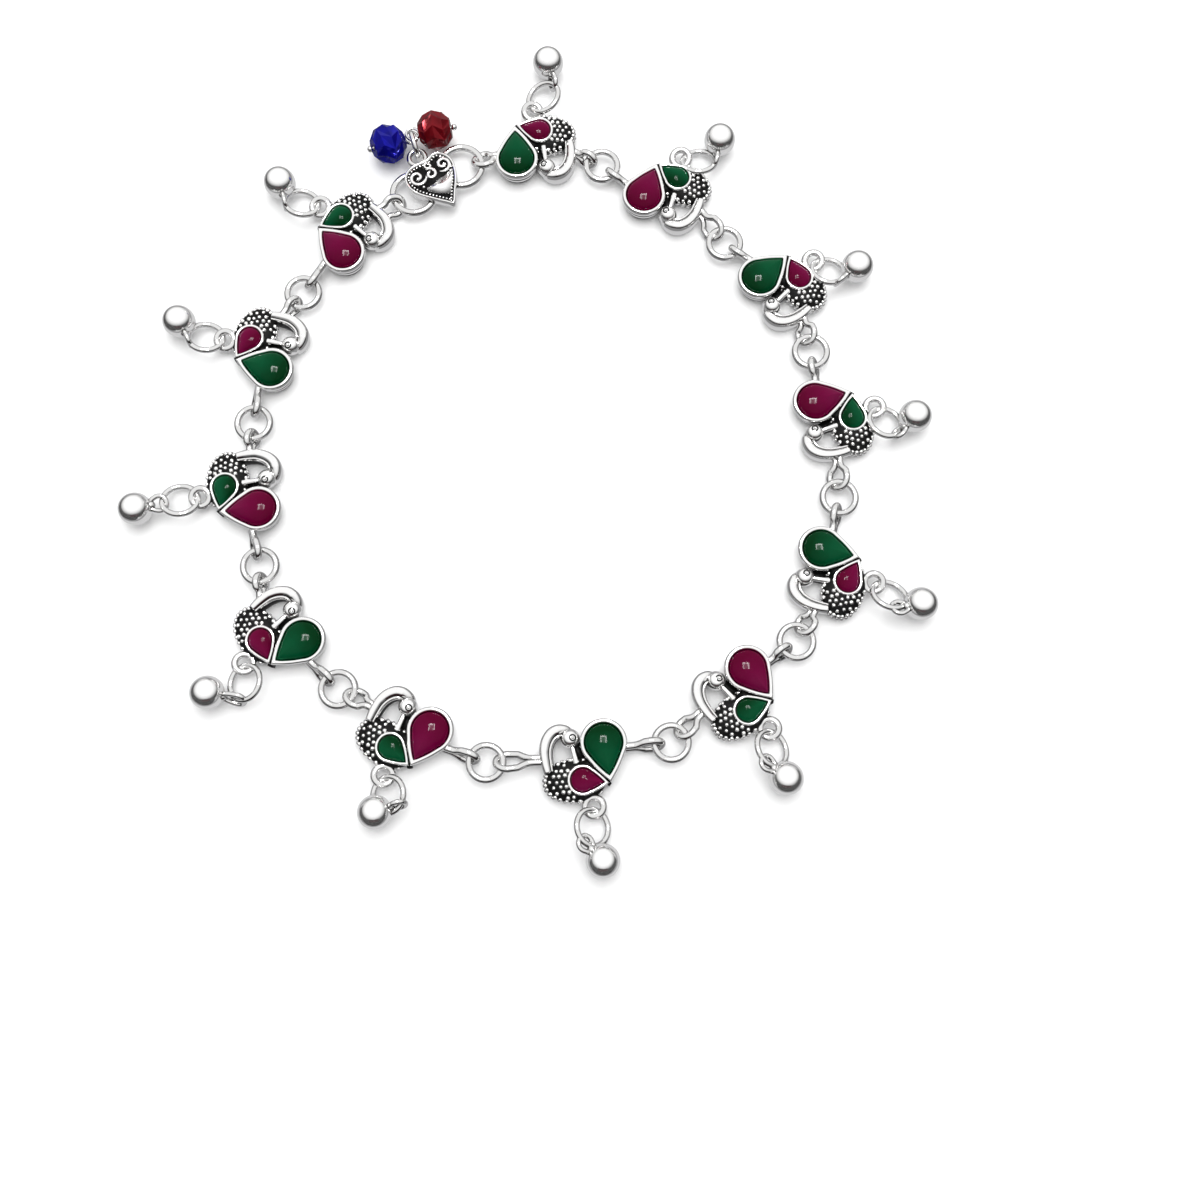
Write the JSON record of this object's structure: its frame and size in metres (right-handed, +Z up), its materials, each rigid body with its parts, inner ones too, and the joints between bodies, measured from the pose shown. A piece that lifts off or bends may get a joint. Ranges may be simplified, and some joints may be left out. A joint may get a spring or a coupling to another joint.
{
  "type": "payal anklet",
  "caption": "Silver payal anklet lying closed: peacock plaques set with green and red cabochons, ring links, ball drops, and a heart-plate hook clasp with bead charms.",
  "frame": {"origin": "middle of the footprint, on the surface the anklet lies on", "axes": "+Z up off the surface, +Y toward the clasp side of the lying loop, +X across it"},
  "size_m": [0.1148, 0.1226, 0.0057],
  "materials": {
    "silver": "polished silver, oxidised dark in the recesses",
    "emerald_glass": "deep green cabochon glass, foiled back",
    "ruby_glass": "magenta-red cabochon glass, foiled back",
    "blue_crystal": "cobalt faceted crystal",
    "red_crystal": "garnet faceted crystal"
  },
  "bodies": {
    "root": {"setting_01": "silver", "setting_02": "silver", "setting_03": "silver", "setting_04": "silver", "setting_05": "silver", "setting_06": "silver", "setting_07": "silver", "setting_08": "silver", "setting_09": "silver", "setting_10": "silver", "setting_11": "silver", "setting_12": "silver", "stone_01": "emerald_glass", "stone_02": "ruby_glass", "stone_03": "emerald_glass", "stone_04": "ruby_glass", "stone_05": "emerald_glass", "stone_06": "ruby_glass", "stone_07": "emerald_glass", "stone_08": "ruby_glass", "stone_09": "emerald_glass", "stone_10": "ruby_glass", "stone_11": "emerald_glass", "stone_12": "ruby_glass", "link_01": "silver", "link_02": "silver", "link_03": "silver", "link_04": "silver", "link_05": "silver", "link_06": "silver", "link_07": "silver", "link_08": "silver", "link_09": "silver", "link_10": "silver", "link_11": "silver", "drop_01": "silver", "drop_02": "silver", "drop_03": "silver", "drop_04": "silver", "drop_05": "silver", "drop_06": "silver", "drop_07": "silver", "drop_08": "silver", "drop_09": "silver", "drop_10": "silver", "drop_11": "silver", "drop_12": "silver", "clasp_hook": "silver", "charm_ring": "silver", "blue_pin": "silver", "red_pin": "silver", "blue_bead": "blue_crystal", "red_bead": "red_crystal"}
  },
  "joints": []
}
